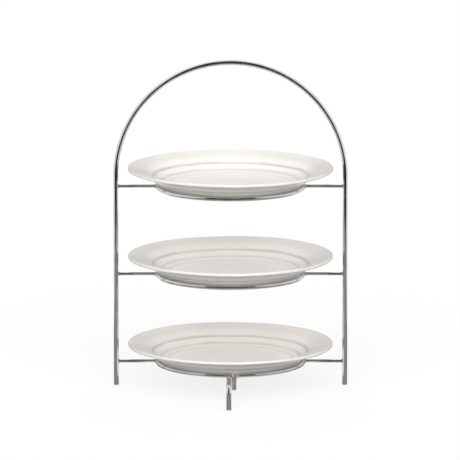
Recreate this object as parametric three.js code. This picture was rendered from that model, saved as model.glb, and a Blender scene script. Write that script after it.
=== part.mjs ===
// A three-tier plate stand: a chrome wire frame under one tall arched handle, with a loose porcelain
// plate lying in each of its three rings. Millimetres, +Z up. The origin is on the surface that the
// stand rests on, at the centre of the arch; the arch lies in the XZ plane and -Y is the front.

import * as THREE from "three";

// ---- Driving dimensions ---------------------------------------------------------------------------

const ROD_RADIUS = 3.25; // the heavy rod of the arch, the rings and the feet
const ARM_RADIUS = 2; // the thin rod that joins each ring to the arch
const GAP = 0.3; // left between pieces that are brazed or lie together

const ARCH_RADIUS = 150.5; // the handle's half circle, and half of the distance between its legs
const SPRING_HEIGHT = 279.5; // where the straight legs turn into the half circle

const RING_RADIUS = 95.5; // to the middle of the rod
const TIERS = [
  { name: "bottom", height: 32 },
  { name: "middle", height: 149 },
  { name: "top", height: 266 },
];

const FOOT_REACH = 162; // how far in front of and behind the arch the two other feet stand
const FOOT_BEND_RADIUS = 12;
const FRONT_FOOT_X = -2.2; // the front foot makes room for the rod end beside it

const TAIL_X = FRONT_FOOT_X + 2 * ROD_RADIUS + GAP; // the bottom ring's rod end, beside the front foot
const TAIL_BEND = 8; // length that the tail's bend takes from each of its two straight sides
const TAIL_LENGTH = 26; // from the corner of the bend to the cut end
const TAIL_DROP = THREE.MathUtils.degToRad(30); // slope of the tail below level
const RING_START_X = 1.5; // where the bottom ring's rod begins, beside its own turned-out end

// The plate, with heights from the middle plane of the ring that it lies in. A slope is rise over run.
const PLATE = {
  radius: 135,
  rimTop: 25.6,
  rimEdgeRadius: 2,
  rimSlope: 0.25,
  rimUnderside: 21, // underside next to the rim's edge
  wallSlope: 0.7, // the wall between the well and the wide rim
  wallThickness: 4.9, // measured straight up
  wellFloor: 4,
  footInner: 74,
  footOuter: 83,
  footBottom: -2.8,
  undersideCentre: -0.5,
  contactHeight: 4.33, // underside above the middle of the ring's rod
};

// ---- Facet counts ---------------------------------------------------------------------------------

const ROD_SIDES = 10;
const ARCH_STEPS = 52;
const RING_SEGMENTS = 48;
const FOOT_STEPS = 16;
const PLATE_SEGMENTS = 48;
const CURVE_STEPS = 2; // steps in each small rounding of the plate's outline

// ---- Finishes -------------------------------------------------------------------------------------

const chrome = () =>
  new THREE.MeshStandardMaterial({ color: 0xc8c9c6, roughness: 0.08, metalness: 1 });

const porcelain = () =>
  new THREE.MeshStandardMaterial({ color: 0xeceae5, roughness: 0.15, metalness: 0 });

// ---- Helpers --------------------------------------------------------------------------------------

/** The regular polygon that stands for a rod's round section. */
function rodSection(radius, sides) {
  const corners = [];
  for (let i = 0; i < sides; i++) {
    const angle = (2 * Math.PI * i) / sides;
    corners.push(new THREE.Vector2(radius * Math.cos(angle), radius * Math.sin(angle)));
  }
  return new THREE.Shape(corners);
}

/** A rod bent along a path, closed by a flat cut face at each end. */
function bentRod(curves, steps) {
  const path = new THREE.CurvePath();
  for (const curve of curves) path.add(curve);
  return new THREE.ExtrudeGeometry(rodSection(ROD_RADIUS, ROD_SIDES), {
    steps,
    extrudePath: path,
    curveSegments: 1,
  });
}

/** An arc in the plane of two unit vectors, from angle `start` through angle `sweep`. */
class PlaneArc extends THREE.Curve {
  constructor(centre, radius, across, up, start, sweep) {
    super();
    Object.assign(this, { centre, radius, across, up, start, sweep });
  }

  getPoint(t, target = new THREE.Vector3()) {
    const angle = this.start + this.sweep * t;
    return target
      .copy(this.centre)
      .addScaledVector(this.across, this.radius * Math.cos(angle))
      .addScaledVector(this.up, this.radius * Math.sin(angle));
  }
}

const X = new THREE.Vector3(1, 0, 0);
const Y = new THREE.Vector3(0, 1, 0);
const Z = new THREE.Vector3(0, 0, 1);
const at = (x, y, z) => new THREE.Vector3(x, y, z);

/** A named mesh. */
function piece(name, geometry, material) {
  const mesh = new THREE.Mesh(geometry, material);
  mesh.name = name;
  return mesh;
}

/** Turns a lathe's axis from +Y to +Z, so that its outline's second coordinate is a height. */
function latheUpright(outline, segments) {
  return new THREE.LatheGeometry(outline, segments).rotateX(Math.PI / 2);
}

// ---- Wire frame -----------------------------------------------------------------------------------

/** The handle: one rod, up the left leg, over the half circle and down the right leg. */
function handleArch() {
  const left = at(-ARCH_RADIUS, 0, SPRING_HEIGHT);
  const right = at(ARCH_RADIUS, 0, SPRING_HEIGHT);
  const over = new PlaneArc(at(0, 0, SPRING_HEIGHT), ARCH_RADIUS, X, Z, Math.PI, -Math.PI);
  const legs = [
    new THREE.LineCurve3(at(-ARCH_RADIUS, 0, 0), left),
    new THREE.LineCurve3(right, at(ARCH_RADIUS, 0, 0)),
  ];
  return piece("handle_arch", bentRod([legs[0], over, legs[1]], ARCH_STEPS), chrome());
}

/** A ring whose rod ends meet in a closed circle. */
function closedRing(name) {
  const section = rodSection(ROD_RADIUS, ROD_SIDES).getPoints();
  const outline = section.map((p) => new THREE.Vector2(RING_RADIUS + p.x, p.y));
  outline.push(outline[0].clone());
  return piece(name, latheUpright(outline, RING_SEGMENTS), chrome());
}

/**
 * The bottom ring: its rod starts beside the front foot, runs once round the circle and ends in a
 * short tail, turned outwards and down next to the foot.
 */
function tailedRing(name) {
  const front = -Math.PI / 2;
  const bendX = TAIL_X + TAIL_BEND;
  const start = front + Math.asin(RING_START_X / RING_RADIUS);
  const end = front + Math.asin(bendX / RING_RADIUS);
  const turn = new PlaneArc(at(0, 0, 0), RING_RADIUS, X, Y, start, end - start - 2 * Math.PI);
  const bendStart = turn.getPoint(1);
  const tangent = turn.getTangent(1);
  const corner = bendStart.clone().addScaledVector(tangent, (TAIL_X - bendStart.x) / tangent.x);
  const outwards = at(0, -Math.cos(TAIL_DROP), -Math.sin(TAIL_DROP));
  const bendEnd = corner.clone().addScaledVector(outwards, TAIL_BEND);
  const tip = corner.clone().addScaledVector(outwards, TAIL_LENGTH);
  const rod = bentRod(
    [turn, new THREE.QuadraticBezierCurve3(bendStart, corner, bendEnd), new THREE.LineCurve3(bendEnd, tip)],
    2 * RING_SEGMENTS,
  );
  return piece(name, rod, chrome());
}

/** A foot: level from the ring's outer side, then round a bend and down to the surface. */
function foot(name, x, side) {
  const height = TIERS[0].height;
  const outwards = at(0, side, 0);
  const root = at(x, side * (RING_RADIUS + ROD_RADIUS + GAP), height);
  const bendStart = at(x, side * (FOOT_REACH - FOOT_BEND_RADIUS), height);
  const bendCentre = bendStart.clone().addScaledVector(Z, -FOOT_BEND_RADIUS);
  const bend = new PlaneArc(bendCentre, FOOT_BEND_RADIUS, outwards, Z, Math.PI / 2, -Math.PI / 2);
  const rod = bentRod(
    [
      new THREE.LineCurve3(root, bendStart),
      bend,
      new THREE.LineCurve3(bend.getPoint(1), at(x, side * FOOT_REACH, 0)),
    ],
    FOOT_STEPS,
  );
  return piece(name, rod, chrome());
}

/** A thin straight arm from the ring's outer side to the inner side of one leg. */
function arm(name, side) {
  const inner = RING_RADIUS + ROD_RADIUS + GAP;
  const outer = ARCH_RADIUS - ROD_RADIUS - GAP;
  const rod = new THREE.CylinderGeometry(ARM_RADIUS, ARM_RADIUS, outer - inner, ROD_SIDES);
  const mesh = piece(name, rod, chrome());
  mesh.rotation.z = Math.PI / 2;
  mesh.position.x = (side * (inner + outer)) / 2;
  return mesh;
}

// ---- Plates ---------------------------------------------------------------------------------------

/** Where two lines meet, each given by a point on it and its slope. */
function meet(a, slopeA, b, slopeB) {
  const x = (b.y - a.y + slopeA * a.x - slopeB * b.x) / (slopeA - slopeB);
  return new THREE.Vector2(x, a.y + slopeA * (x - a.x));
}

/** Rounds an outline's next corner, from `before` it on one line to `after` it on the next one. */
function roundCorner(outline, corner, before, slopeBefore, after, slopeAfter) {
  outline.lineTo(corner.x + before, corner.y + before * slopeBefore);
  outline.quadraticCurveTo(corner.x, corner.y, corner.x - after, corner.y - after * slopeAfter);
}

/** A dinner plate: a foot ring under it, a flat well, a sloping wall and a wide rim with a round edge. */
function plate(name) {
  const p = PLATE;
  const step = 1.5; // size of the small roundings
  const edgeX = p.radius - p.rimEdgeRadius;
  const wallUnder = new THREE.Vector2(RING_RADIUS, p.contactHeight);
  const rimUnder = new THREE.Vector2(edgeX - step, p.rimUnderside);
  const wallOver = new THREE.Vector2(RING_RADIUS, p.contactHeight + p.wallThickness);
  const rimOver = new THREE.Vector2(edgeX, p.rimTop);
  const underFoot = meet(wallUnder, p.wallSlope, new THREE.Vector2(0, p.undersideCentre), 0);
  const underKnee = meet(wallUnder, p.wallSlope, rimUnder, p.rimSlope);
  const knee = meet(wallOver, p.wallSlope, rimOver, p.rimSlope);
  const wallFoot = meet(wallOver, p.wallSlope, new THREE.Vector2(0, p.wellFloor), 0);

  const outline = new THREE.Path();
  outline.moveTo(0, p.undersideCentre);
  outline.lineTo(p.footInner - step, p.undersideCentre);
  outline.lineTo(p.footInner + step, p.footBottom);
  outline.lineTo(p.footOuter - step, p.footBottom);
  outline.lineTo(p.footOuter + step, p.undersideCentre);
  outline.lineTo(underFoot.x, underFoot.y);
  outline.lineTo(underKnee.x, underKnee.y);
  outline.lineTo(rimUnder.x, rimUnder.y);
  outline.quadraticCurveTo(p.radius, p.rimUnderside + step, p.radius, p.rimTop - p.rimEdgeRadius);
  outline.quadraticCurveTo(p.radius, p.rimTop, edgeX, p.rimTop);
  roundCorner(outline, knee, 2 * step, p.rimSlope, 2 * step, p.wallSlope);
  roundCorner(outline, wallFoot, 2 * step, p.wallSlope, 3 * step, 0);
  outline.lineTo(0, p.wellFloor);
  const points = outline.getPoints(CURVE_STEPS);
  return piece(name, latheUpright(points, PLATE_SEGMENTS), porcelain());
}

// ---- Assembly -------------------------------------------------------------------------------------

const group = new THREE.Group();
group.add(handleArch());
group.add(foot("front_foot", FRONT_FOOT_X, -1));
group.add(foot("back_foot", 0, 1));

for (const { name, height } of TIERS) {
  const tier = new THREE.Group();
  tier.position.z = height;
  const ringName = `${name}_ring`;
  tier.add(name === "bottom" ? tailedRing(ringName) : closedRing(ringName));
  tier.add(arm(`${name}_left_arm`, -1));
  tier.add(arm(`${name}_right_arm`, 1));
  tier.add(plate(`${name}_plate`));
  group.add(tier);
}

export default group;
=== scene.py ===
"""The looks of a three-tier plate stand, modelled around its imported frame.

A chrome rod is bent into a tall arch with two legs. Three round rings hang between the legs on thin
arms, a foot stands in front of the bottom ring and another behind it, and a ribbed porcelain plate
lies loose in each ring. Metres, +Z up. The arch lies in the XZ plane and -Y is the front.
"""

import logging
import math
from collections.abc import Iterable, Sequence
from dataclasses import dataclass, field
from enum import Enum

import bmesh
import bpy
from mathutils import Matrix, Vector


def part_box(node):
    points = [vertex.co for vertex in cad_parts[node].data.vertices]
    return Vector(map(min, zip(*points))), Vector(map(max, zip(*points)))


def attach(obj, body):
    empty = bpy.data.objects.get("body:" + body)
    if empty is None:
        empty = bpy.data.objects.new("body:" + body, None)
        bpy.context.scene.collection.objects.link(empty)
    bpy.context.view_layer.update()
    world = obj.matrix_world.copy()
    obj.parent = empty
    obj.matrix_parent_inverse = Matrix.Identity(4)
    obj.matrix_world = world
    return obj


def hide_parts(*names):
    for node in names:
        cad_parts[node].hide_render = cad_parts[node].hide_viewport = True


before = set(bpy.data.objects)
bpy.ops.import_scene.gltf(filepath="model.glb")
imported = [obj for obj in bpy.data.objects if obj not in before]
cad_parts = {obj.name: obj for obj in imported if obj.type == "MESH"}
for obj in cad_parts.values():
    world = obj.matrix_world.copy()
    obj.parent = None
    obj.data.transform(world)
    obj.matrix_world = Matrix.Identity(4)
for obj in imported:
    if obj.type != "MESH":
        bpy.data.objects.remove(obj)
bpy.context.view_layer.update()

LOG = logging.getLogger("plate_stand")

MM = 0.001
MERGE_DISTANCE = 0.001 * MM
WHITE = (1, 1, 1, 1)
RIGHTWARDS = Vector((1, 0, 0))
BACKWARDS = Vector((0, 1, 0))
UPWARDS = Vector((0, 0, 1))

Socket = bpy.types.NodeSocket
Span = tuple[float, float]
Triple = tuple[float, float, float]
Point = tuple[float, float]


# ---- Named options ----


class Tier(Enum):
    """The three levels of the stand."""

    BOTTOM = "bottom"
    MIDDLE = "middle"
    TOP = "top"


class Side(Enum):
    """A direction along an axis: left and front are the negative ones."""

    NEGATIVE = -1
    POSITIVE = 1


class Slot(Enum):
    """The record's material slots."""

    CHROME = "chrome_wire"
    PORCELAIN = "white_porcelain"


# ---- Materials ----


@dataclass(frozen=True)
class Clouds:
    """A cloudy pattern: the size of its patches, how fine it gets and which strengths of it matter."""

    size: float
    detail: float
    contrast: Span = (0, 1)
    stretch: Triple = (1, 1, 1)


@dataclass(frozen=True)
class Relief:
    """A layer of bump: the size of its lumps, how fine it gets, its strength and its height."""

    size: float
    detail: float
    strength: float
    height: float


class NodeNet:
    """A net of shading nodes, with short ways to add to it."""

    def __init__(self, tree: bpy.types.NodeTree) -> None:
        """Take up a node tree.

        Args:
            tree: the tree to add to.
        """
        self.tree = tree

    def add(self, kind: str) -> bpy.types.Node:
        """Add a node of a kind."""
        return self.tree.nodes.new(kind)

    def join(self, source: Socket, target: Socket) -> None:
        """Join an output to an input."""
        self.tree.links.new(source, target)

    def math(self, operation: str, *terms: float | Socket) -> Socket:
        """Add a Math node.

        Args:
            operation: the node's operation.
            terms: numbers or sockets, in the node's order.

        Returns:
            The node's output.
        """
        node = self.add("ShaderNodeMath")
        node.operation = operation
        for socket, term in zip(node.inputs, terms):
            if isinstance(term, Socket):
                self.join(term, socket)
            else:
                socket.default_value = term
        return node.outputs[0]

    def parts(self, vector: Socket) -> list[Socket]:
        """Split a vector.

        Args:
            vector: the socket to read.

        Returns:
            Its x, y and z.
        """
        split = self.add("ShaderNodeSeparateXYZ")
        self.join(vector, split.inputs[0])
        return list(split.outputs)

    def length(self, x: Socket, y: Socket) -> Socket:
        """Add up two parts of a vector to their length."""
        return self.math("SQRT", self.math("ADD", self.math("MULTIPLY", x, x), self.math("MULTIPLY", y, y)))

    def remap(self, value: Socket, source: Span, result: Span = (0, 1)) -> Socket:
        """Turn one range of a value smoothly into another.

        Args:
            value: the socket to read.
            source: the range of values that matters.
            result: what its two ends become.

        Returns:
            The new value.
        """
        node = self.add("ShaderNodeMapRange")
        node.interpolation_type = "SMOOTHSTEP"
        node.inputs["From Min"].default_value, node.inputs["From Max"].default_value = source
        node.inputs["To Min"].default_value, node.inputs["To Max"].default_value = result
        self.join(value, node.inputs["Value"])
        return node.outputs["Result"]


class Recipe(NodeNet):
    """A material being mixed: its node tree, its shader and short ways to add to them."""

    def __init__(self, name: str) -> None:
        """Start a material with one Principled shader.

        Args:
            name: the material's name.
        """
        self.material = bpy.data.materials.new(name)
        self.material.use_nodes = True
        super().__init__(self.material.node_tree)
        self.shader = self.tree.nodes["Principled BSDF"]
        self.place = self.add("ShaderNodeTexCoord").outputs["Object"]

    def set(self, **values: float | Sequence[float]) -> None:
        """Set constants on the shader's own sockets.

        Args:
            values: socket names, with _ for each space, and their values.
        """
        for name, value in values.items():
            self.shader.inputs[name.replace("_", " ")].default_value = value

    def feed(self, socket: str, source: Socket) -> None:
        """Join a source to one of the shader's sockets."""
        self.join(source, self.shader.inputs[socket])

    def noise(self, size: float, detail: float, stretch: Triple = (1, 1, 1)) -> Socket:
        """Add a noise pattern.

        Args:
            size: the size of its patches.
            detail: how many finer layers it has.
            stretch: how much denser the pattern is along each axis.

        Returns:
            The pattern's strength, from 0 to 1.
        """
        mapping = self.add("ShaderNodeMapping")
        mapping.inputs["Scale"].default_value = stretch
        self.join(self.place, mapping.inputs["Vector"])
        node = self.add("ShaderNodeTexNoise")
        node.inputs["Scale"].default_value = 1 / size
        node.inputs["Detail"].default_value = detail
        self.join(mapping.outputs["Vector"], node.inputs["Vector"])
        return node.outputs["Fac"]

    def clouds(self, pattern: Clouds, result: Span = (0, 1)) -> Socket:
        """Add a cloudy pattern.

        Args:
            pattern: what it looks like.
            result: what its weakest and its strongest patches become.

        Returns:
            The pattern's value.
        """
        strength = self.noise(pattern.size, pattern.detail, pattern.stretch)
        return self.remap(strength, pattern.contrast, result)

    def tint(self, share: Socket, low: Triple | Socket, high: Triple | Socket) -> Socket:
        """Mix two colours by a varying share.

        Args:
            share: how much of the second colour shows.
            low: the first colour, red, green and blue or a socket.
            high: the second colour, likewise.

        Returns:
            The mixed colour.
        """
        node = self.add("ShaderNodeMix")
        node.data_type = "RGBA"
        factor, result = node.inputs[0], node.outputs[2]
        self.join(share, factor)
        for socket, colour in ((node.inputs[6], low), (node.inputs[7], high)):
            if isinstance(colour, Socket):
                self.join(colour, socket)
            else:
                socket.default_value = (*colour, 1)
        return result

    def bump(self, *layers: Relief) -> None:
        """Raise the surface by layers of relief, one over another.

        Args:
            layers: the layers, the lowest first.
        """
        below = None
        for layer in layers:
            node = self.add("ShaderNodeBump")
            node.inputs["Strength"].default_value = layer.strength
            node.inputs["Distance"].default_value = layer.height
            self.join(self.noise(layer.size, layer.detail), node.inputs["Height"])
            if below is not None:
                self.join(below, node.inputs["Normal"])
            below = node.outputs["Normal"]
        self.feed("Normal", below)


@dataclass(frozen=True)
class ChromePlate:
    """Polished chrome on steel rod: faint clouds in the plating, hairline rubs and finger haze."""

    name: str = "chrome_plate"
    bright: Triple = (0.66, 0.66, 0.655)
    dull: Triple = (0.57, 0.57, 0.56)
    dulling: Clouds = Clouds(22 * MM, 4, (0.35, 0.7))
    polish: float = 0.05
    haze: float = 0.13
    smears: Clouds = Clouds(9 * MM, 5, (0.4, 0.75), (1, 1, 0.4))
    waves: Relief = Relief(6 * MM, 1, 0.12, 0.08 * MM)
    grain: Relief = Relief(0.7 * MM, 2, 0.05, 0.02 * MM)

    def material(self) -> bpy.types.Material:
        """Mix the finish."""
        mix = Recipe(self.name)
        mix.set(Metallic=1.0)
        mix.feed("Base Color", mix.tint(mix.clouds(self.dulling), self.bright, self.dull))
        mix.feed("Roughness", mix.clouds(self.smears, (self.polish, self.haze)))
        mix.bump(self.waves, self.grain)
        return mix.material


@dataclass(frozen=True)
class BrazedChrome:
    """Chrome over a brazed joint: the same plating on a rougher, slightly warmer and lumpy bed."""

    name: str = "brazed_chrome"
    bright: Triple = (0.62, 0.61, 0.59)
    dull: Triple = (0.42, 0.40, 0.37)
    dulling: Clouds = Clouds(1.6 * MM, 4, (0.4, 0.7))
    polish: float = 0.12
    haze: float = 0.3
    hazing: Clouds = Clouds(1.6 * MM, 4, (0.3, 0.7))
    lumps: Relief = Relief(1.6 * MM, 4, 0.4, 0.15 * MM)
    grain: Relief = Relief(0.4 * MM, 2, 0.15, 0.03 * MM)

    def material(self) -> bpy.types.Material:
        """Mix the finish."""
        mix = Recipe(self.name)
        mix.set(Metallic=1.0)
        mix.feed("Base Color", mix.tint(mix.clouds(self.dulling), self.bright, self.dull))
        mix.feed("Roughness", mix.clouds(self.hazing, (self.polish, self.haze)))
        mix.bump(self.lumps, self.grain)
        return mix.material


@dataclass(frozen=True)
class ClearGlaze:
    """Clear gloss glaze on warm white porcelain. It pools in the throwing grooves, and a darker colour there
    paints both the pooled glaze and painted shade in the grooves. The glaze thins at the rim.
    """

    ribs: "ThrowingRibs"
    well_radius: float
    rim_radius: float
    name: str = "clear_glaze"
    body: Triple = (0.80, 0.768, 0.742)
    shade: Triple = (0.765, 0.735, 0.708)
    shading: Clouds = Clouds(60 * MM, 2, (0.35, 0.7))
    # painted light: the well is coloured lighter than the rim and wall, standing in for the fuller light
    # that its flat floor catches
    well: Triple = (0.87, 0.843, 0.818)
    painted_well_light_fade: Span = (-12 * MM, 4 * MM)
    # painted shade: this groove colour is far darker than pooled clear glaze alone, so it also paints the
    # shade that falls in the grooves
    pooled_glaze_and_painted_shade: Triple = (0.52, 0.50, 0.47)
    pool_shade_wander: float = 0.5 * MM
    pool_shade_wandering: Clouds = Clouds(30 * MM, 2, (0.3, 0.7))
    pool_shade_share: Span = (0.6, 1)
    pool_shade_patches: Clouds = Clouds(45 * MM, 3, (0.35, 0.65))
    edge: Triple = (0.68, 0.65, 0.625)
    edge_width: float = 3 * MM
    sheen: Span = (0.21, 0.27)
    sheen_patches: Clouds = Clouds(50 * MM, 1, (0.3, 0.7))
    waves: Relief = Relief(11 * MM, 2, 0.12, 0.2 * MM)
    grain: Relief = Relief(1.5 * MM, 2, 0.04, 0.03 * MM)

    def _pool_shade_mask(self, mix: Recipe, radius: Socket) -> Socket:
        """Work out how much glaze has pooled, together with the painted shade in the grooves.

        Args:
            mix: the material being mixed.
            radius: the distance from the plate's middle.

        Returns:
            The share of the darker colour that paints pooled glaze and groove shade, from 0 to 1.
        """
        wander = mix.clouds(self.pool_shade_wandering, (-self.pool_shade_wander, self.pool_shade_wander))
        shifted = mix.math("ADD", radius, wander)
        pool_shade = 0.0
        for groove in self.ribs.grooves():
            distance = mix.math("ABSOLUTE", mix.math("SUBTRACT", shifted, groove.radius))
            one_pool_shade = mix.remap(distance, (0, 2 * groove.width), (groove.pool_shade, 0))
            pool_shade = mix.math("MAXIMUM", pool_shade, one_pool_shade)
        return mix.math("MULTIPLY", pool_shade, mix.clouds(self.pool_shade_patches, self.pool_shade_share))

    def material(self) -> bpy.types.Material:
        """Mix the finish."""
        mix = Recipe(self.name)
        x, y, _ = mix.parts(mix.place)
        radius = mix.length(x, y)
        inner, outer = self.painted_well_light_fade
        # painted light: a lighter colour over the well, fading out where the wall begins
        painted_well_light = mix.remap(radius, (self.well_radius + inner, self.well_radius + outer), (1, 0))
        thinning = mix.remap(radius, (self.rim_radius - self.edge_width, self.rim_radius))
        wall = mix.tint(mix.clouds(self.shading), self.body, self.shade)
        # the grooves take a darker colour that is partly pooled glaze and partly painted shade
        colour = mix.tint(self._pool_shade_mask(mix, radius), mix.tint(painted_well_light, wall, self.well), self.pooled_glaze_and_painted_shade)
        mix.feed("Base Color", mix.tint(thinning, colour, self.edge))
        mix.feed("Roughness", mix.clouds(self.sheen_patches, self.sheen))
        mix.set(IOR=1.5, Specular_IOR_Level=0.25, Coat_Weight=0.1, Coat_Roughness=0.12)
        mix.bump(self.waves, self.grain)
        return mix.material


@dataclass(frozen=True)
class Biscuit:
    """Unglazed porcelain, as the potter leaves the face that a plate stands on."""

    name: str = "biscuit"
    pale: Triple = (0.74, 0.71, 0.66)
    rubbed: Triple = (0.55, 0.52, 0.47)
    wear: Clouds = Clouds(5 * MM, 4, (0.4, 0.7))
    dry_roughness: float = 0.75
    rubbed_roughness: float = 0.6
    grain: Relief = Relief(0.5 * MM, 3, 0.35, 0.06 * MM)

    def material(self) -> bpy.types.Material:
        """Mix the finish."""
        mix = Recipe(self.name)
        wear = mix.clouds(self.wear)
        mix.feed("Base Color", mix.tint(wear, self.pale, self.rubbed))
        mix.feed("Roughness", mix.remap(wear, (0, 1), (self.dry_roughness, self.rubbed_roughness)))
        mix.bump(self.grain)
        return mix.material


# ---- Modelling ----


class Bench:
    """Steps of modelling by hand that every piece shares. They act on the active mesh in edit mode."""

    @staticmethod
    def clear() -> None:
        """Leave edit mode and deselect everything."""
        if bpy.context.object is not None and bpy.context.object.mode == "EDIT":
            bpy.ops.object.mode_set(mode="OBJECT")
        bpy.ops.object.select_all(action="DESELECT")

    @staticmethod
    def begin(name: str) -> bpy.types.Object:
        """Name the primitive just added, fix its place in its mesh and open it with all selected.

        Args:
            name: the piece's name.

        Returns:
            The piece, in edit mode.
        """
        piece = bpy.context.object
        piece.name = piece.data.name = name
        bpy.ops.object.transform_apply(location=True, rotation=True, scale=True)
        bpy.ops.object.mode_set(mode="EDIT")
        bpy.ops.mesh.select_all(action="SELECT")
        return piece

    @staticmethod
    def round_face(name: str, centre: Vector, along: Vector, radius: float, sides: int) -> bpy.types.Object:
        """Lay down the round face that a rod or a fillet is drawn from.

        Args:
            name: the piece's name.
            centre: the middle of the face.
            along: the direction that the face looks in.
            radius: the face's radius.
            sides: how many corners it has.

        Returns:
            The piece, in edit mode with its face selected.
        """
        Bench.clear()
        turn = along.to_track_quat("Z", "Y").to_euler()
        bpy.ops.mesh.primitive_circle_add(
            vertices=sides, radius=radius, fill_type="NGON", location=centre, rotation=turn
        )
        return Bench.begin(name)

    @staticmethod
    def draw(step: Vector) -> None:
        """Extrude what is selected by a step."""
        bpy.ops.mesh.extrude_region_move(TRANSFORM_OT_translate={"value": tuple(step)})

    @staticmethod
    def pick_faces(piece: bpy.types.Object, wanted: Iterable[int]) -> None:
        """Select some faces and nothing else.

        Args:
            piece: the piece in edit mode.
            wanted: the faces' numbers.
        """
        bpy.ops.mesh.select_mode(type="FACE")
        bpy.ops.mesh.select_all(action="DESELECT")
        net = bmesh.from_edit_mesh(piece.data)
        net.faces.ensure_lookup_table()
        for number in wanted:
            net.faces[number].select_set(True)
        bmesh.update_edit_mesh(piece.data)

    @staticmethod
    def finish(piece: bpy.types.Object, sharp: float = 50) -> bpy.types.Object:
        """Merge doubles, turn the faces outwards, leave edit mode and smooth the shading.

        Args:
            piece: the piece in edit mode.
            sharp: the angle in degrees past which an edge stays sharp.

        Returns:
            The piece.
        """
        bpy.ops.mesh.select_all(action="SELECT")
        bpy.ops.mesh.remove_doubles(threshold=MERGE_DISTANCE)
        bpy.ops.mesh.normals_make_consistent(inside=False)
        bpy.ops.object.mode_set(mode="OBJECT")
        bpy.ops.object.shade_smooth_by_angle(angle=math.radians(sharp))
        return piece

    @staticmethod
    def dress(
        piece: bpy.types.Object,
        finishes: Sequence[bpy.types.Material],
        slot: Slot,
        body: str,
        node: str | None = None,
    ) -> bpy.types.Object:
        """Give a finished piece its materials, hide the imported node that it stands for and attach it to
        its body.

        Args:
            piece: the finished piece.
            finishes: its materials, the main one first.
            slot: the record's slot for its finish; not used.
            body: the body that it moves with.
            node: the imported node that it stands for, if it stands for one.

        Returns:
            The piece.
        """
        piece.data.materials.clear()
        for finish in finishes:
            piece.data.materials.append(finish)
        if node is not None:
            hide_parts(node)
        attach(piece, body)
        LOG.info("%s: %d faces, rides on %s", piece.name, len(piece.data.polygons), body)
        return piece


class Rod:
    """A round rod drawn like wire through a bender: straight runs and bends, one after another."""

    SIDES = 32
    END_SEGMENTS = 4

    def __init__(self, name: str, start: Vector, heading: Vector, radius: float) -> None:
        """Lay down the rod's first end.

        Args:
            name: the piece's name.
            start: the middle of its first end.
            heading: the direction that it sets out in.
            radius: the rod's radius.
        """
        self.position = start.copy()
        self.heading = heading.normalized()
        self.radius = radius
        self.piece = Bench.round_face(name, start, self.heading, radius, self.SIDES)

    def straight(self, length: float) -> "Rod":
        """Draw a straight run.

        Args:
            length: how long it is.

        Returns:
            The rod.
        """
        step = self.heading * length
        Bench.draw(step)
        self.position += step
        return self

    def bend(self, angle: float, radius: float, axis: Vector, steps: int) -> "Rod":
        """Draw a bend.

        Args:
            angle: how far the heading turns, in radians, by the right hand about the axis.
            radius: the bend's radius at the middle of the rod.
            axis: the unit axis that it turns about.
            steps: how many facets the bend has.

        Returns:
            The rod.
        """
        centre = self.position + axis.cross(self.heading) * radius
        bpy.ops.mesh.spin(steps=steps, angle=-angle, center=centre, axis=axis)
        turn = Matrix.Rotation(angle, 3, axis)
        self.position = centre + turn @ (self.position - centre)
        self.heading = (turn @ self.heading).normalized()
        return self

    def end(self, rounding: float) -> bpy.types.Object:
        """Round both cut ends and finish the rod.

        Args:
            rounding: the radius of the rounded edges.

        Returns:
            The finished piece.
        """
        bpy.ops.mesh.select_all(action="SELECT")
        bpy.ops.mesh.remove_doubles(threshold=MERGE_DISTANCE)
        net = bmesh.from_edit_mesh(self.piece.data)
        caps = [face.index for face in net.faces if len(face.verts) == self.SIDES]
        Bench.pick_faces(self.piece, caps)
        bpy.ops.mesh.bevel(offset=rounding, segments=self.END_SEGMENTS, affect="EDGES")
        return Bench.finish(self.piece, sharp=40)


@dataclass(frozen=True)
class FilletSize:
    """A fillet's radius at the thin rod and along and across the big one, its reach and its root's depth."""

    neck: float
    flare: float
    narrow: float
    reach: float
    root: float


class Fillet:
    """A small braze fillet that flares from a thin rod to the rod that it meets."""

    SIDES = 28
    STEPS = 7

    def __init__(self, name: str, foot: Vector, along: Vector, wide: Vector) -> None:
        """Say where the fillet sits.

        Args:
            name: the piece's name.
            foot: the point on the big rod's surface where the thin rod's axis meets it.
            along: the thin rod's direction, away from the big rod.
            wide: the direction in which the big rod runs, where the flare is widest.
        """
        self.name = name
        self.foot = foot
        self.along = along.normalized()
        self.wide = wide.normalized()

    def build(self, size: FilletSize) -> bpy.types.Object:
        """Draw the fillet in rings, from inside the big rod out to the thin rod.

        Args:
            size: its measures.

        Returns:
            The finished piece.
        """
        start = self.foot - self.along * size.root
        piece = Bench.round_face(self.name, start, self.along, size.flare, self.SIDES)
        across = self.along.cross(self.wide)
        self._squeeze(start, across, size.narrow / size.flare)
        Bench.draw(self.along * size.root)
        middle = self.foot.copy()
        width, depth = size.flare, size.narrow
        for step in range(1, self.STEPS + 1):
            turn = step / self.STEPS * math.pi / 2
            stride = self.along * size.reach * (math.cos(turn - math.pi / 2 / self.STEPS) - math.cos(turn))
            Bench.draw(stride)
            middle += stride
            fade = 1 - math.sin(turn)
            new_width = size.neck + (size.flare - size.neck) * fade
            new_depth = size.neck + (size.narrow - size.neck) * fade
            self._squeeze(middle, self.wide, new_width / width)
            self._squeeze(middle, across, new_depth / depth)
            width, depth = new_width, new_depth
        return Bench.finish(piece, sharp=60)

    @staticmethod
    def _squeeze(middle: Vector, axis: Vector, ratio: float) -> None:
        """Scale what is selected about a point, along one of the main axes only."""
        value = [1 + (ratio - 1) * abs(part) for part in axis]
        bpy.ops.transform.resize(value=value, center_override=middle)


# ---- The wire frame ----


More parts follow.
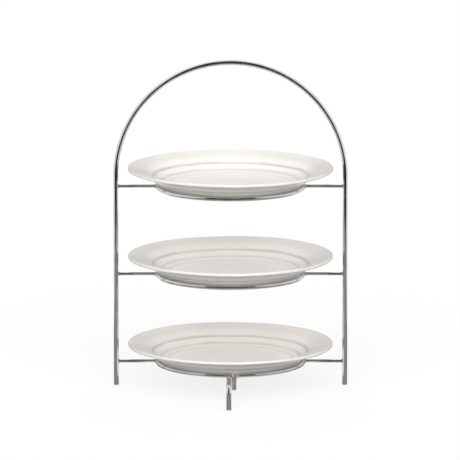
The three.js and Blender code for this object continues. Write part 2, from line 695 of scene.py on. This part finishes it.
@dataclass
class WireFrame:
    """The arch, its legs, the three rings with their arms, and the two feet."""

    finish: bpy.types.Material
    braze: bpy.types.Material
    rod_radius: float = 3.25 * MM
    arm_radius: float = 2.0 * MM
    gap: float = 0.3 * MM
    end_rounding: float = 0.7 * MM
    foot_reach: float = 162 * MM
    foot_bend: float = 12 * MM
    front_foot_x: float = -2.2 * MM
    ring_start_x: float = 1.5 * MM
    tail_bend: float = 8 * MM
    tail_length: float = 26 * MM
    tail_drop: float = math.radians(30)
    packed_sides: int = 10
    arch_facets: int = 128
    ring_facets: int = 160
    tail_facets: int = 14
    foot_facets: int = 20
    arm_rounding: float = 0.2 * MM
    arm_sunk: float = 0.6 * MM
    arm_flare: float = 3.1 * MM
    arm_narrow: float = 2.5 * MM
    arm_braze_reach: float = 2.4 * MM
    arm_braze_skin: float = 0.08 * MM
    arm_braze_root: float = 0.75
    foot_braze_flare: float = 1.3 * MM
    foot_braze_skin: float = 0.1 * MM
    foot_braze_reach: float = 2.6 * MM
    weld_gap: float = 0.15 * MM
    weld_rounding: float = 0.3 * MM
    weld_half_length: float = 1.6 * MM
    weld_rise: float = 0.32 * MM
    weld_sides: int = 36
    weld_steps: int = 8
    body: str = "frame"
    heights: dict[Tier, float] = field(init=False)
    ring_radius: float = field(init=False)
    leg_x: float = field(init=False)
    spring_height: float = field(init=False)
    tail_x: float = field(init=False)

    def __post_init__(self) -> None:
        """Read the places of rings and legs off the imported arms."""
        self.heights = {}
        for tier in Tier:
            low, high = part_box(f"{tier.value}_right_arm")
            self.heights[tier] = (low.z + high.z) / 2
            self.ring_radius = low.x - self.gap - self.rod_radius
            self.leg_x = high.x + self.gap + self.rod_radius
        self.spring_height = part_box("handle_arch")[1].z - self.leg_x - self.rod_flat
        self.tail_x = self.front_foot_x + 2 * self.rod_radius + self.gap

    @property
    def rod_flat(self) -> float:
        """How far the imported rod's flat sides stand from its middle."""
        return self.rod_radius * math.cos(math.pi / self.packed_sides)

    def _dress(self, piece: bpy.types.Object, node: str | None = None) -> bpy.types.Object:
        """Give a piece its finish and its body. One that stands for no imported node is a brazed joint."""
        finish = self.braze if node is None else self.finish
        return Bench.dress(piece, [finish], Slot.CHROME, self.body, node)

    def handle(self) -> None:
        """The arch: up the left leg, over the half circle and down the right leg."""
        rod = Rod("handle_rod", Vector((-self.leg_x, 0, 0)), UPWARDS, self.rod_radius)
        rod.straight(self.spring_height)
        rod.bend(math.pi, self.leg_x, BACKWARDS, self.arch_facets)
        rod.straight(self.spring_height)
        self._dress(rod.end(self.end_rounding), "handle_arch")

    def closed_ring(self, tier: Tier) -> None:
        """A ring whose rod ends meet in a butt weld at the back.

        Args:
            tier: which ring it is.
        """
        slit = self.weld_gap / self.ring_radius
        seam = Vector((-math.sin(slit), math.cos(slit), 0)) * self.ring_radius
        seam.z = self.heights[tier]
        heading = UPWARDS.cross(seam)
        rod = Rod(f"{tier.value}_ring_rod", seam, heading, self.rod_radius)
        rod.bend(2 * (math.pi - slit), self.ring_radius, UPWARDS, self.ring_facets)
        self._dress(rod.end(self.weld_rounding), f"{tier.value}_ring")
        self._weld(f"{tier.value}_ring_weld", Vector((0, self.ring_radius, self.heights[tier])), RIGHTWARDS)

    def _weld(self, name: str, middle: Vector, along: Vector) -> None:
        """A ground weld bead round a butt joint.

        Args:
            name: the piece's name.
            middle: the middle of the joint.
            along: the direction of the rod through it.
        """
        half, steps = self.weld_half_length, self.weld_steps
        start = middle - along * half
        bead = Bench.round_face(name, start, along, self.rod_radius, self.weld_sides)
        last = self.rod_radius
        for step in range(1, steps + 1):
            Bench.draw(along * 2 * half / steps)
            radius = self.rod_radius + self.weld_rise * math.sin(math.pi * step / steps)
            spot = start + along * 2 * half * step / steps
            bpy.ops.transform.resize(value=(radius / last,) * 3, center_override=spot)
            last = radius
        self._dress(Bench.finish(bead, sharp=60))

    def tailed_ring(self) -> None:
        """The bottom ring: once round, and then out and down beside the front foot in a short tail."""
        height = self.heights[Tier.BOTTOM]
        start = self._on_front(self.ring_start_x, height)
        heading = start.cross(UPWARDS)
        heading.z = 0
        bend_x = self.tail_x + self.tail_bend
        missing = math.asin(bend_x / self.ring_radius) - math.asin(self.ring_start_x / self.ring_radius)
        rod = Rod("bottom_ring_rod", start, heading, self.rod_radius)
        rod.bend(2 * math.pi - missing, self.ring_radius, -UPWARDS, self.ring_facets)
        outwards = Vector((0, -math.cos(self.tail_drop), -math.sin(self.tail_drop)))
        corner = (self.tail_x - rod.position.x) / rod.heading.x
        swing = rod.heading.angle(outwards)
        axis = rod.heading.cross(outwards).normalized()
        rod.bend(swing, corner / math.tan(swing / 2), axis, self.tail_facets)
        rod.straight(self.tail_length - corner)
        self._dress(rod.end(self.end_rounding), "bottom_ring")

    def _on_front(self, x: float, height: float) -> Vector:
        """Find the point on a ring's front half with this x."""
        return Vector((x, -math.sqrt(self.ring_radius**2 - x**2), height))

    def foot(self, name: str, x: float, side: Side) -> None:
        """A foot: level from the ring, round a bend and down to the floor, with a fillet at the ring.

        Args:
            name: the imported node's name.
            x: its place to the right of the middle.
            side: in front of the ring or behind it.
        """
        height = self.heights[Tier.BOTTOM]
        outwards = BACKWARDS * side.value
        root = Vector((x, side.value * (self.ring_radius + self.rod_radius), height))
        rod = Rod(f"{name}_rod", root, outwards, self.rod_radius)
        rod.straight(self.foot_reach - self.foot_bend - abs(root.y))
        rod.bend(math.pi / 2, self.foot_bend, outwards.cross(-UPWARDS), self.foot_facets)
        rod.straight(height - self.foot_bend)
        self._dress(rod.end(self.end_rounding), name)
        radius = self.rod_radius
        neck = radius + self.foot_braze_skin
        size = FilletSize(neck, radius + self.foot_braze_flare, neck, self.foot_braze_reach, radius)
        self._dress(Fillet(f"{name}_braze", root, outwards, RIGHTWARDS).build(size))

    def arm(self, tier: Tier, side: Side) -> None:
        """A thin arm from a ring to a leg, with a fillet at each end.

        Args:
            tier: which ring it holds.
            side: to the left or to the right.
        """
        name = f"{tier.value}_{'left' if side is Side.NEGATIVE else 'right'}_arm"
        outwards = RIGHTWARDS * side.value
        height = UPWARDS * self.heights[tier]
        inner = outwards * (self.ring_radius + self.rod_radius) + height
        outer = outwards * (self.leg_x - self.rod_radius) + height
        sunk = outwards * self.arm_sunk
        rod = Rod(f"{name}_rod", inner - sunk, outwards, self.arm_radius)
        rod.straight((outer - inner + 2 * sunk).length)
        self._dress(rod.end(self.arm_rounding), name)
        neck, root = self.arm_radius + self.arm_braze_skin, self.arm_braze_root * self.rod_radius
        size = FilletSize(neck, self.arm_flare, self.arm_narrow, self.arm_braze_reach, root)
        self._dress(Fillet(f"{name}_ring_braze", inner, outwards, BACKWARDS).build(size))
        self._dress(Fillet(f"{name}_leg_braze", outer, -outwards, UPWARDS).build(size))

    def build(self) -> None:
        """Make every piece of the frame."""
        self.handle()
        self.tailed_ring()
        self.closed_ring(Tier.MIDDLE)
        self.closed_ring(Tier.TOP)
        self.foot("front_foot", self.front_foot_x, Side.NEGATIVE)
        self.foot("back_foot", 0, Side.POSITIVE)
        for tier in Tier:
            for side in Side:
                self.arm(tier, side)


# ---- The plates ----


@dataclass(frozen=True)
class Groove:
    """One ring that a finger has drawn into the turning plate."""

    radius: float
    depth: float
    width: float
    # how strongly the groove is darkened by pooled glaze and painted shade
    pool_shade: float

    def sink(self, radius: float) -> float:
        """How deep the groove is at this distance from the plate's middle."""
        return self.depth * math.exp(-(((radius - self.radius) / self.width) ** 2))


@dataclass(frozen=True)
class ThrowingRibs:
    """The grooves that the potter's fingers leave: strong ones on the wall, faint ones in the well."""

    wall_outer: float = 102.2 * MM
    wall_pitch: float = 10.4 * MM
    wall_depths: tuple[float, ...] = (1.0 * MM, 0.7 * MM, 0.55 * MM)
    wall_width: float = 1.6 * MM
    well_inner: float = 20.5 * MM
    well_pitch: float = 13.5 * MM
    well_count: int = 4
    well_depth: float = 0.16 * MM
    well_width: float = 3.0 * MM
    # the faint well grooves get a little of the pooled-glaze and painted-shade colour
    well_pool_shade: float = 0.12

    def grooves(self) -> list[Groove]:
        """Every groove, the wall's from the outside in and then the well's from the inside out."""
        strongest = max(self.wall_depths)
        wall = [
            Groove(self.wall_outer - turn * self.wall_pitch, depth, self.wall_width, depth / strongest)
            for turn, depth in enumerate(self.wall_depths)
        ]
        faint = self.well_depth, self.well_width, self.well_pool_shade
        well = [Groove(self.well_inner + turn * self.well_pitch, *faint) for turn in range(self.well_count)]
        return wall + well

    def sink(self, radius: float) -> float:
        """How deep all grooves together are at this distance from the plate's middle."""
        return sum(groove.sink(radius) for groove in self.grooves())


@dataclass(frozen=True)
class PlateShape:
    """A plate's outline. Heights are from the middle plane of the ring that it lies in."""

    ribs: ThrowingRibs
    radius: float = 135 * MM
    rim_top: float = 25.6 * MM
    rim_slope: float = 0.25
    rim_underside: float = 21 * MM
    lip: float = 2.0 * MM
    wall_slope: float = 0.7
    wall_thickness: float = 4.9 * MM
    well_floor: float = 4.0 * MM
    foot_inner: float = 74 * MM
    foot_outer: float = 83 * MM
    foot_bottom: float = -2.8 * MM
    underside: float = -0.5 * MM
    contact_radius: float = 95.5 * MM
    contact_height: float = 4.33 * MM
    foot_lean: float = 1.2 * MM
    foot_roundings: tuple[float, ...] = (2 * MM, 1 * MM, 1 * MM, 1.2 * MM)
    heel_rounding: float = 1.5 * MM
    knee_rounding: float = 6 * MM
    well_rounding: float = 7 * MM
    edge_inset: float = 1.5 * MM
    edge_rise: float = 1 * MM
    edge_rounding: float = 1.4 * MM
    step: float = 0.8 * MM

    @staticmethod
    def _meet(a: Point, slope_a: float, b: Point, slope_b: float) -> Point:
        """Where two lines meet, each given by a point on it and its slope."""
        x = (b[1] - a[1] + slope_a * a[0] - slope_b * b[0]) / (slope_a - slope_b)
        return x, a[1] + slope_a * (x - a[0])

    def _through(self, corners: Sequence[tuple[Point, float]]) -> list[Point]:
        """Points along straight lines from corner to corner, with each corner rounded off.

        Args:
            corners: the corners, each with the length that its rounding takes from both its sides.

        Returns:
            The points, from the first corner to the last.
        """
        points = [Vector(corners[0][0])]

        def run(pull: Vector, end: Vector, least: int) -> None:
            """Add a curve from the last point to another.

            Args:
                pull: the point that the curve is drawn towards.
                end: where it ends.
                least: the fewest points that it may have.
            """
            start = points[-1].copy()
            steps = max(least, round((end - start).length / self.step))
            for t in (step / steps for step in range(1, steps + 1)):
                points.append(start * (1 - t) ** 2 + pull * 2 * t * (1 - t) + end * t**2)

        for (before, _), (corner, reach), (after, _) in zip(corners, corners[1:], corners[2:]):
            spot = Vector(corner)
            start = spot + (Vector(before) - spot).normalized() * reach
            run((points[-1] + start) / 2, start, 1)
            run(spot, spot + (Vector(after) - spot).normalized() * reach, 4)
        end = Vector(corners[-1][0])
        run((points[-1] + end) / 2, end, 1)
        return [tuple(point) for point in points]

    @property
    def _wall_line(self) -> Point:
        """Find a point on the upper side of the wall."""
        return self.contact_radius, self.contact_height + self.wall_thickness

    @property
    def _rim_line(self) -> Point:
        """Find the point where the rim's upper side ends and its lip begins."""
        return self.radius - self.lip, self.rim_top

    @property
    def well_radius(self) -> float:
        """Where the wall would meet the floor of the well if nothing rounded the corner."""
        return self._meet(self._wall_line, self.wall_slope, (0, self.well_floor), 0)[0]

    def under(self) -> list[Point]:
        """The underside, from the middle out to the rim: a standing ring, the wall and the rim's back."""
        lean = self.foot_lean
        contact, slope = (self.contact_radius, self.contact_height), self.wall_slope
        edge = (self.radius - self.lip - self.edge_inset, self.rim_underside)
        foot = [
            (self.foot_inner - lean, self.underside),
            (self.foot_inner + lean, self.foot_bottom),
            (self.foot_outer - lean, self.foot_bottom),
            (self.foot_outer + lean, self.underside),
        ]
        corners = [
            ((0, self.underside), 0),
            *zip(foot, self.foot_roundings),
            (self._meet(contact, slope, (0, self.underside), 0), self.heel_rounding),
            (self._meet(contact, slope, edge, self.rim_slope), self.knee_rounding),
            (edge, 0),
        ]
        return self._through(corners)

    def over(self) -> list[Point]:
        """The upper side, from the lip in to the middle, with its grooves."""
        knee = self._meet(self._wall_line, self.wall_slope, self._rim_line, self.rim_slope)
        corners = [
            (self._rim_line, 0),
            (knee, self.knee_rounding),
            ((self.well_radius, self.well_floor), self.well_rounding),
            ((0, self.well_floor), 0),
        ]
        return [(radius, height - self.ribs.sink(radius)) for radius, height in self._through(corners)]

    def outline(self) -> list[Point]:
        """The whole outline, from the middle of the underside to the middle of the well."""
        under, over = self.under(), self.over()
        corners = [
            (under[-1], 0),
            ((self.radius, self.rim_underside + self.edge_rise), self.edge_rounding),
            ((self.radius, self.rim_top), self.lip),
            (over[0], 0),
        ]
        return under + self._through(corners)[1:] + over[1:]


@dataclass
class Plates:
    """The three loose plates: one is thrown, and the others are copies with a wobble of their own."""

    shape: PlateShape
    glaze: bpy.types.Material
    biscuit: bpy.types.Material
    heights: dict[Tier, float]
    facets: int = 160
    wobble: float = 1.6 * MM
    wobble_size: float = 85 * MM
    still_margin: float = 4 * MM
    bare_height: float = 0.3 * MM

    def _throw(self) -> bpy.types.Object:
        """Draw the outline from one point and spin it into a plate.

        Returns:
            The plate, with its ring's middle plane at height 0.
        """
        outline = self.shape.outline()
        Bench.clear()
        bpy.ops.mesh.primitive_plane_add(size=self.shape.step, location=(outline[0][0], 0, outline[0][1]))
        plate = Bench.begin("thrown_plate")
        bpy.ops.mesh.select_mode(type="VERT")
        bpy.ops.mesh.merge(type="CENTER")
        for before, after in zip(outline, outline[1:]):
            Bench.draw(Vector((after[0] - before[0], 0, after[1] - before[1])))
        bpy.ops.mesh.select_all(action="SELECT")
        bpy.ops.mesh.spin(steps=self.facets, angle=2 * math.pi, center=(0, 0, 0), axis=(0, 0, 1))
        return Bench.finish(plate)

    def _weigh_rim(self, plate: bpy.types.Object) -> None:
        """Give the rim a vertex group that fades out before the part that lies in the ring.

        Args:
            plate: the thrown plate.
        """
        group = plate.vertex_groups.new(name="rim")
        start, end = self.shape.contact_radius + self.still_margin, self.shape.radius
        for vertex in plate.data.vertices:
            share = (vertex.co.xy.length - start) / (end - start)
            if share > 0:
                group.add([vertex.index], min(1, share), "REPLACE")

    def _set_down(self, pattern: bpy.types.Object, tier: Tier) -> None:
        """Copy the plate into its ring and let its rim wander as a thrown rim does.

        Args:
            pattern: the plate to copy.
            tier: the ring that it lies in.
        """
        plate = pattern.copy()
        plate.data = pattern.data.copy()
        plate.name = plate.data.name = f"{tier.value}_ribbed_plate"
        bpy.context.collection.objects.link(plate)
        Bench.clear()
        bpy.context.view_layer.objects.active = plate
        plate.select_set(True)
        bpy.ops.transform.translate(value=UPWARDS * self.heights[tier])
        bpy.ops.object.transform_apply(location=True, rotation=True, scale=True)
        clouds = bpy.data.textures.new(f"{tier.value}_wobble", "CLOUDS")
        clouds.cloud_type = "COLOR"
        clouds.noise_scale = self.wobble_size
        clouds.noise_depth = 1
        wander = plate.modifiers.new("wobble", "DISPLACE")
        wander.texture = clouds
        wander.texture_coords = "LOCAL"
        wander.direction = "RGB_TO_XYZ"
        wander.vertex_group = "rim"
        wander.strength = self.wobble
        bpy.ops.object.modifier_apply(modifier=wander.name)
        plate.vertex_groups.clear()
        self._bare_foot(plate, self.heights[tier] + self.shape.foot_bottom)
        node = f"{tier.value}_plate"
        Bench.dress(plate, [self.glaze, self.biscuit], Slot.PORCELAIN, node, node)

    def _bare_foot(self, plate: bpy.types.Object, bottom: float) -> None:
        """Give the faces that the plate stands on the second material, unglazed."""
        for face in plate.data.polygons:
            face.material_index = int(face.center.z < bottom + self.bare_height)

    def build(self) -> None:
        """Throw the plate and set one down in each ring."""
        pattern = self._throw()
        self._weigh_rim(pattern)
        for tier in Tier:
            self._set_down(pattern, tier)
        bpy.data.objects.remove(pattern)


# ---- The studio ----


@dataclass
class Studio:
    """A white floor under a white tent that is open and dark in front, where the camera stands."""

    look_at: Vector = Vector((-0.0007, 0, 0.2074))
    elevation: float = math.radians(10.5)
    distance: float = 9.0
    view_height: float = 0.604
    floor_size: float = 60.0
    floor_glow: float = 0.8
    paper_patches: Clouds = Clouds(1.5, 2)
    lit_paper: Span = (0.31, 0.33)
    glowing_paper: Span = (0.19, 0.20)
    opening: float = math.radians(39)
    opening_top: float = math.radians(72)
    opening_blur: float = math.radians(3)
    card_back: float = 0.3
    card_front: float = 12.0
    card_height: float = 0.5 * MM
    table_edge: Span = (0.55, 1.05)
    underneath: Span = (0.105, 0.135)
    tent_glow: float = 1.05
    room_glow: float = 0.015
    table_glow: float = 0.33
    mirrored_back: float = 0.45
    back_edge: Span = (math.radians(35), math.radians(18))
    backdrop: float = 1.0
    lamp_height: float = math.radians(12)
    lamp_reach: Span = (0.35, 1)
    lamp_glow: float = 5.2
    fill_glow: float = 1.6
    side_dimming: float = 0.95
    top_dimming: float = 0.82
    daylight: tuple[float, ...] = (1, 0.995, 0.99, 1)

    def camera(self) -> None:
        """Stand the camera in front, a little above the plates."""
        lens = bpy.data.cameras.new("stand_camera")
        lens.lens = lens.sensor_width * self.distance / self.view_height
        camera = bpy.data.objects.new("stand_camera", lens)
        bpy.context.scene.collection.objects.link(camera)
        away = Vector((0, -math.cos(self.elevation), math.sin(self.elevation)))
        camera.location = self.look_at + away * self.distance
        camera.rotation_euler = away.to_track_quat("Z", "Y").to_euler()
        bpy.context.scene.camera = camera

    def floor(self) -> None:
        """A wide white floor that glows by itself, so that only a faint shadow lies under the stand."""
        Bench.clear()
        bpy.ops.mesh.primitive_plane_add(size=self.floor_size)
        plane = bpy.context.object
        plane.name = "studio_floor"
        mix = Recipe("floor_paper")
        lit_only = mix.add("ShaderNodeLightPath").outputs["Is Diffuse Ray"]
        patches = mix.noise(self.paper_patches.size, self.paper_patches.detail)
        glowing, paper = [
            mix.tint(patches, (dark,) * 3, (light,) * 3)
            for dark, light in (self.glowing_paper, self.lit_paper)
        ]
        mix.feed("Base Color", mix.tint(lit_only, glowing, paper))
        mix.feed("Emission Strength", mix.remap(lit_only, (0, 1), (self.floor_glow, 0)))
        mix.set(Roughness=1.0, Specular_IOR_Level=0.0, Emission_Color=WHITE)
        plane.data.materials.append(mix.material)

    def table_reflection(self) -> None:
        """The dim near table and the dark beyond it, as the chrome sees them through the opening."""
        Bench.clear()
        middle = (0, self.card_back - self.card_front / 2, self.card_height)
        bpy.ops.mesh.primitive_plane_add(size=2, location=middle)
        card = bpy.context.object
        card.name = "table_reflection"
        for corner in card.data.vertices:
            forwards = corner.co.y < 0
            corner.co.y *= self.card_front / 2
            corner.co.x *= self.card_back + (self.card_front * math.tan(self.opening) if forwards else 0)
        bpy.ops.object.transform_apply(location=True, rotation=True, scale=True)
        mix = Recipe("table_shade")
        x, y, _ = mix.parts(mix.place)
        table = mix.remap(mix.math("MULTIPLY", y, -1.0), self.table_edge, (self.table_glow, self.room_glow))
        under = mix.remap(mix.length(x, y), self.underneath, (self.tent_glow, 0))
        mix.feed("Emission Strength", mix.math("MAXIMUM", table, under))
        mix.set(Base_Color=(0, 0, 0, 1), Specular_IOR_Level=0.0, Emission_Color=WHITE)
        card.data.materials.append(mix.material)
        card.visible_camera = card.visible_diffuse = card.visible_shadow = False
        card.visible_transmission = card.visible_volume_scatter = False

    def _mirrored(self, net: NodeNet, direction: Sequence[Socket]) -> Socket:
        """Work out what reflections see: the white tent, its dark opening in front and its dimmer back.

        Args:
            net: the world's nodes.
            direction: the three parts of the direction looked in.

        Returns:
            The glow in that direction.
        """
        x, y, z = direction
        level = net.math("MAXIMUM", net.length(x, y), 1e-4)
        forward = net.math("DIVIDE", net.math("MULTIPLY", y, -1.0), level)
        blur = self.opening_blur
        in_front = net.remap(forward, (math.cos(self.opening + blur), math.cos(self.opening - blur)))
        top = (math.sin(self.opening_top - 2 * blur), math.sin(self.opening_top + 2 * blur))
        dark = net.math("MULTIPLY", in_front, net.math("SUBTRACT", 1.0, net.remap(z, top)))
        back_start, back_end = self.back_edge
        behind = net.remap(y, (math.cos(back_start), math.cos(back_end)))
        glow = self.tent_glow
        for share, other in ((dark, self.room_glow), (behind, self.mirrored_back)):
            glow = net.math("ADD", glow, net.math("MULTIPLY", share, other - self.tent_glow))
        return glow

    def _shed(self, net: NodeNet, direction: Sequence[Socket]) -> Socket:
        """Work out what lights the stand: a broad low lamp in front and a fill that fades to the sides.

        Args:
            net: the world's nodes.
            direction: the three parts of the direction that the light comes from.

        Returns:
            The light from that direction.
        """
        x, y, z = direction
        towards_lamp = net.math(
            "ADD",
            net.math("MULTIPLY", y, -math.cos(self.lamp_height)),
            net.math("MULTIPLY", z, math.sin(self.lamp_height)),
        )
        share = net.remap(towards_lamp, self.lamp_reach)
        lamp = net.math("MULTIPLY", share, self.lamp_glow - self.fill_glow)
        shed = net.math("ADD", self.fill_glow, lamp)
        for part, dimming in ((x, self.side_dimming), (z, self.top_dimming)):
            dimmed = net.math("MULTIPLY", net.math("MULTIPLY", part, part), dimming)
            shed = net.math("MULTIPLY", shed, net.math("SUBTRACT", 1.0, dimmed))
        return shed

    def tent(self) -> None:
        """The light: white on every side, with an opening in front that only reflections see."""
        world = bpy.data.worlds.new("light_tent")
        bpy.context.scene.world = world
        world.use_nodes = True
        net = NodeNet(world.node_tree)
        direction = net.parts(net.add("ShaderNodeTexCoord").outputs["Generated"])
        seen = self._mirrored(net, direction)
        shed = self._shed(net, direction)
        path = net.add("ShaderNodeLightPath").outputs
        mirrored = net.math("MULTIPLY", path["Is Glossy Ray"], net.math("SUBTRACT", seen, shed))
        glow, backdrop = net.tree.nodes["Background"], net.add("ShaderNodeBackground")
        glow.inputs["Color"].default_value = self.daylight
        net.join(net.math("ADD", shed, mirrored), glow.inputs["Strength"])
        backdrop.inputs["Color"].default_value = WHITE
        backdrop.inputs["Strength"].default_value = self.backdrop
        choose = net.add("ShaderNodeMixShader")
        net.join(path["Is Camera Ray"], choose.inputs[0])
        net.join(glow.outputs[0], choose.inputs[1])
        net.join(backdrop.outputs[0], choose.inputs[2])
        net.join(choose.outputs[0], net.tree.nodes["World Output"].inputs["Surface"])

    def build(self) -> None:
        """Set up the camera, the floor and the light."""
        bpy.context.scene.view_settings.view_transform = "Standard"
        self.camera()
        self.floor()
        self.table_reflection()
        self.tent()


# ---- The whole ----


def main() -> None:
    logging.basicConfig(level=logging.INFO, format="%(name)s: %(message)s")
    wire = WireFrame(finish=ChromePlate().material(), braze=BrazedChrome().material())
    wire.build()
    shape = PlateShape(ribs=ThrowingRibs())
    glaze = ClearGlaze(shape.ribs, well_radius=shape.well_radius, rim_radius=shape.radius)
    Plates(shape, glaze.material(), Biscuit().material(), wire.heights).build()
    Studio().build()


if __name__ == "__main__":
    main()
